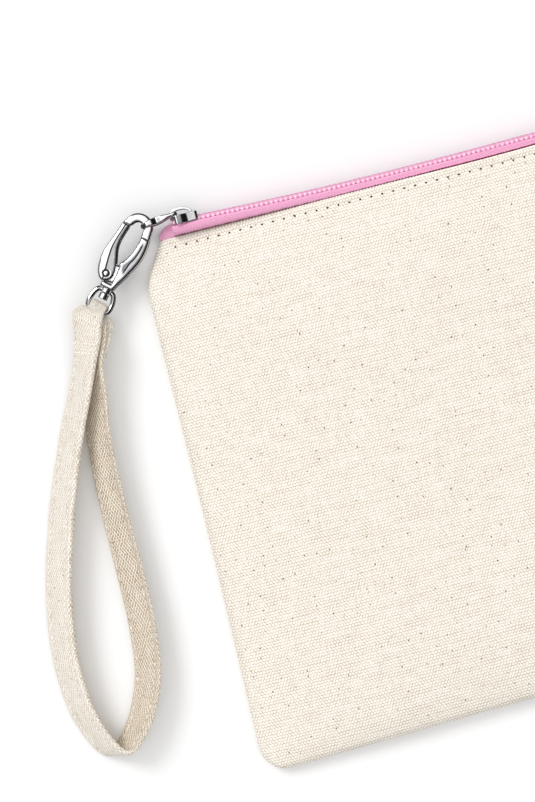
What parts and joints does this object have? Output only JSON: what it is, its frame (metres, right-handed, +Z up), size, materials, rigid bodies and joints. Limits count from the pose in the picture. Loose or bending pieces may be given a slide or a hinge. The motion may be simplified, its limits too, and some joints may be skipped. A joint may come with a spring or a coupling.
{
  "type": "wristlet pouch",
  "caption": "Flat zipped pouch of undyed canvas with a coil zip, a trigger clasp on the zip's puller and a canvas wrist strap.",
  "frame": {"origin": "middle of the back panel's flat underside, with the pouch lying on its back", "axes": "+X runs along the zip from its closed end, +Y points out of the zip edge, +Z points up from the table"},
  "size_m": [0.2998, 0.1822, 0.0133],
  "materials": {
    "canvas": "undyed plain-weave cotton canvas",
    "strap_canvas": "undyed plain-weave cotton canvas, folded and topstitched",
    "zip_tape": "pink woven polyester tape",
    "zip_coil": "pink nylon coil",
    "nickel": "dark polished nickel",
    "thread": "undyed sewing thread"
  },
  "bodies": {
    "pouch": {"back_panel": "canvas", "seam_allowance_left": "canvas", "seam_allowance_right": "canvas", "seam_allowance_bottom": "canvas", "zip_tape_back": "zip_tape", "zip_coil_back": "zip_coil", "zip_tape_end_left": "zip_tape", "zip_tape_end_right": "zip_tape", "topstitch_back": "thread"},
    "front": {"front_panel": "canvas", "topstitch_front": "thread", "zip_tape_front": "zip_tape", "zip_coil_front": "zip_coil"},
    "slider": {"slider_body": "nickel", "slider_bridge": "nickel"},
    "puller": {"puller": "nickel"},
    "clasp": {"clasp_hook": "nickel", "gate_rivet": "nickel", "gate_spring": "nickel", "swivel_post": "nickel"},
    "gate": {"clasp_gate": "nickel"},
    "ring": {"swivel_ring": "nickel"},
    "strap": {"wrist_strap": "strap_canvas"}
  },
  "joints": [
    {"name": "zip_slide", "type": "slide", "parent": "pouch", "child": "slider", "axis": [1, 0, 0], "range_m": [0, 0.2], "deforming": ["zip_tape_front", "zip_tape_back", "zip_coil_front", "zip_coil_back"]},
    {"name": "mouth_open", "type": "hinge", "parent": "pouch", "child": "front", "pos_m": [0, -0.0866, 0.0025], "axis": [1, 0, 0], "range_deg": [0, 5.05]},
    {"name": "puller_swing", "type": "hinge", "parent": "slider", "child": "puller", "pos_m": [-0.1031, 0.09275, 0.0074], "axis": [0, 0, -1], "range_deg": [0, 160.1]},
    {"name": "clasp_swing", "type": "hinge", "parent": "puller", "child": "clasp", "pos_m": [-0.1156, 0.0913, 0.0074], "axis": [0, 0, -1], "range_deg": [0, 90.1]},
    {"name": "gate_open", "type": "hinge", "parent": "clasp", "child": "gate", "pos_m": [-0.1291, 0.08004, 0.0074], "axis": [0, 0, -1], "range_deg": [0, 16], "stiffness_Nm_per_rad": 0.01, "springref_deg": -11.46, "deforming": ["gate_spring"]},
    {"name": "swivel", "type": "hinge", "parent": "clasp", "child": "ring", "pos_m": [-0.1156, 0.0913, 0.0074], "axis": [-0.6691, -0.7431, 0], "continuous": true},
    {"name": "strap_hinge", "type": "hinge", "parent": "ring", "child": "strap", "pos_m": [-0.13503, 0.06972, 0.0074], "axis": [0.7431, -0.6691, 0], "range_deg": [-60, 60]}
  ],
  "couplings": [
    {"joint": "mouth_open", "follows": "zip_slide", "rad_per_m": 0.43633},
    {"joint": "puller_swing", "follows": "zip_slide", "rad_per_m": 13.963},
    {"joint": "clasp_swing", "follows": "zip_slide", "rad_per_m": 7.854}
  ]
}
